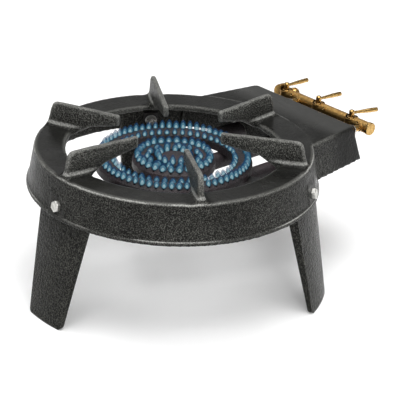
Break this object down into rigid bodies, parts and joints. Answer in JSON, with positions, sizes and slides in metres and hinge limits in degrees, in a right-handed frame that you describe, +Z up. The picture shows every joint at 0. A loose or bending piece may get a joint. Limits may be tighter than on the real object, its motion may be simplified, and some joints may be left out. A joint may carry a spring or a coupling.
{
  "type": "gas boiling ring",
  "caption": "Low cast-iron gas boiling ring on splayed legs: pan prongs over concentric burner rings, hood, and a brass manifold with lever taps.",
  "frame": {"origin": "on the ground, under the middle of the burner rings", "axes": "+Z up, +X from the middle of the rings to the manifold, +Y to the left when standing at the manifold's far side and looking at the rings from -X"},
  "size_m": [0.5143, 0.389, 0.2219],
  "materials": {
    "black_iron": "black speckled casting, satin on flat tops",
    "leg_iron": "black speckled casting",
    "burner_iron": "heat-greyed casting",
    "strap_steel": "black paint",
    "zinc_steel": "zinc plated",
    "cast_brass": "cast, tarnished in the corners",
    "turned_brass": "turned, bright on the edges"
  },
  "bodies": {
    "stove": {"stove_body": "black_iron", "left_leg": "leg_iron", "rear_leg": "leg_iron", "right_leg": "leg_iron", "leg_bolts": "zinc_steel", "leg_washers": "zinc_steel", "leg_nuts": "zinc_steel", "left_burner_arm": "strap_steel", "rear_burner_arm": "strap_steel", "right_burner_arm": "strap_steel", "burner_screws": "zinc_steel", "outer_burner": "burner_iron", "middle_burner": "burner_iron", "centre_burner": "burner_iron", "gas_manifold": "cast_brass", "manifold_end_plug": "turned_brass", "inlet_elbow": "turned_brass", "hose_nozzle": "turned_brass", "manifold_studs": "turned_brass", "stud_washers": "zinc_steel", "stud_nuts": "zinc_steel", "pilot_screws": "turned_brass", "gland_nuts": "turned_brass", "gas_jets": "turned_brass"},
    "middle_tap": {"middle_tap_plug": "turned_brass", "middle_tap_lever": "turned_brass", "middle_tap_washer": "zinc_steel", "middle_tap_nut": "zinc_steel"},
    "centre_tap": {"centre_tap_plug": "turned_brass", "centre_tap_lever": "turned_brass", "centre_tap_washer": "zinc_steel", "centre_tap_nut": "zinc_steel"},
    "outer_tap": {"outer_tap_plug": "turned_brass", "outer_tap_lever": "turned_brass", "outer_tap_washer": "zinc_steel", "outer_tap_nut": "zinc_steel"}
  },
  "joints": [
    {"name": "middle_tap_turn", "type": "hinge", "parent": "stove", "child": "middle_tap", "pos_m": [0.265, 0.0636, 0.16], "axis": [0, 0, 1], "range_deg": [-88, 2]},
    {"name": "centre_tap_turn", "type": "hinge", "parent": "stove", "child": "centre_tap", "pos_m": [0.265, 0, 0.16], "axis": [0, 0, 1], "range_deg": [-84, 6]},
    {"name": "outer_tap_turn", "type": "hinge", "parent": "stove", "child": "outer_tap", "pos_m": [0.265, -0.0636, 0.16], "axis": [0, 0, 1], "range_deg": [-73, 17]}
  ]
}
